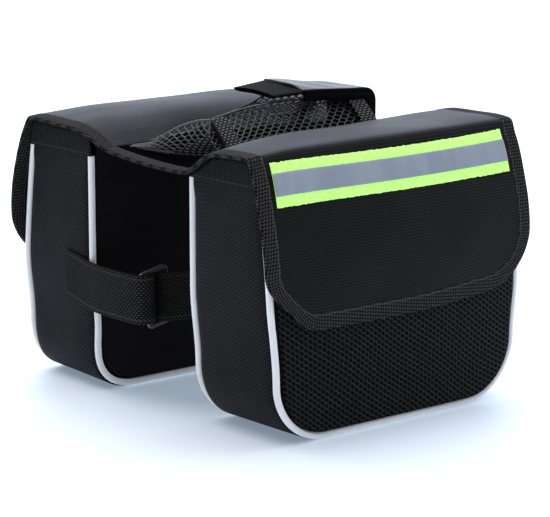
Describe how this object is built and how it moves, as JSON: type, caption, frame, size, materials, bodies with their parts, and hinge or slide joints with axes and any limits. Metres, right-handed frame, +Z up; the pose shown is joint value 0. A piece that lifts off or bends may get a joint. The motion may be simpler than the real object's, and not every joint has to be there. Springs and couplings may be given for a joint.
{
  "type": "bicycle frame bag",
  "caption": "Saddle style bicycle bag: two fabric pouches with flaps and reflective tape, joined by a bridge with a net pocket and a strap with a slotted ring.",
  "frame": {"origin": "middle of the footprint, on the floor that the pouches stand on", "axes": "+Z up; X along the pouches with the strap at the -X end; Y across, the pouch at -Y is the near one in the picture"},
  "size_m": [0.1992, 0.2454, 0.1802],
  "materials": {
    "pouch_fabric": "matte black woven polyester",
    "grosgrain": "matte ribbed black tape",
    "webbing": "matte black webbing",
    "piping": "satin white",
    "netting": "dark knitted net",
    "neon_tape": "matte fluorescent green",
    "silver_film": "satin retroreflective grey",
    "plastic": "satin dark grey"
  },
  "bodies": {
    "root": {"gusset_left": "pouch_fabric", "inner_panel_left": "pouch_fabric", "outer_panel_left": "pouch_fabric", "cover_left": "pouch_fabric", "mesh_panel_left": "netting", "inner_piping_left": "piping", "outer_piping_left": "piping", "mouth_hem_front_left": "grosgrain", "mouth_hem_rear_left": "grosgrain", "cover_binding_left": "grosgrain", "pocket_strip_front_left": "grosgrain", "pocket_strip_rear_left": "grosgrain", "lid_band_left": "grosgrain", "neon_tape_left": "neon_tape", "silver_stripe_left": "silver_film", "pocket_net_left": "netting", "strap_left": "webbing", "gusset_right": "pouch_fabric", "inner_panel_right": "pouch_fabric", "outer_panel_right": "pouch_fabric", "cover_right": "pouch_fabric", "mesh_panel_right": "netting", "inner_piping_right": "piping", "outer_piping_right": "piping", "mouth_hem_front_right": "grosgrain", "mouth_hem_rear_right": "grosgrain", "cover_binding_right": "grosgrain", "pocket_strip_front_right": "grosgrain", "pocket_strip_rear_right": "grosgrain", "lid_band_right": "grosgrain", "neon_tape_right": "neon_tape", "silver_stripe_right": "silver_film", "pocket_net_right": "netting", "strap_right": "webbing", "bridge": "pouch_fabric", "pocket_lid": "pouch_fabric", "bridge_binding_front": "grosgrain", "bridge_binding_rear": "grosgrain", "pocket_net_front": "netting", "lid_tab": "webbing", "strap_ring": "plastic"}
  },
  "joints": []
}
